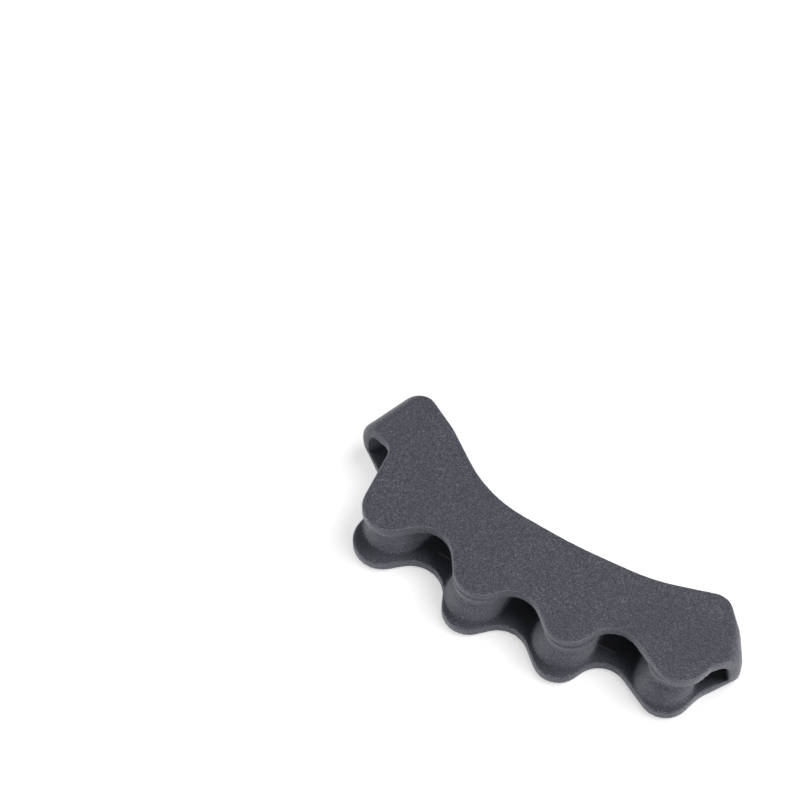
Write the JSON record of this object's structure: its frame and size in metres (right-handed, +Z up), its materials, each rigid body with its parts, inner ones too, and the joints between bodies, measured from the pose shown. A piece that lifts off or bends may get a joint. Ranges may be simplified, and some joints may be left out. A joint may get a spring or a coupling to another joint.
{
  "type": "toe separator",
  "caption": "Soft moulded toe separator: a bottom and a top wall joined by round posts and looped ends, with open channels that hold the toes apart.",
  "frame": {"origin": "centre of the footprint, on the flat underside", "axes": "+X along the row of toes from the big-toe loop to the little-toe loop, -Y the lobed front that faces the toe tips, +Z up through the thickness"},
  "size_m": [0.1058, 0.0404, 0.013],
  "materials": {
    "moulding": "slate grey moulded rubber, matt, with a fine speckled grain"
  },
  "bodies": {
    "root": {"toe_separator": "moulding"}
  },
  "joints": []
}
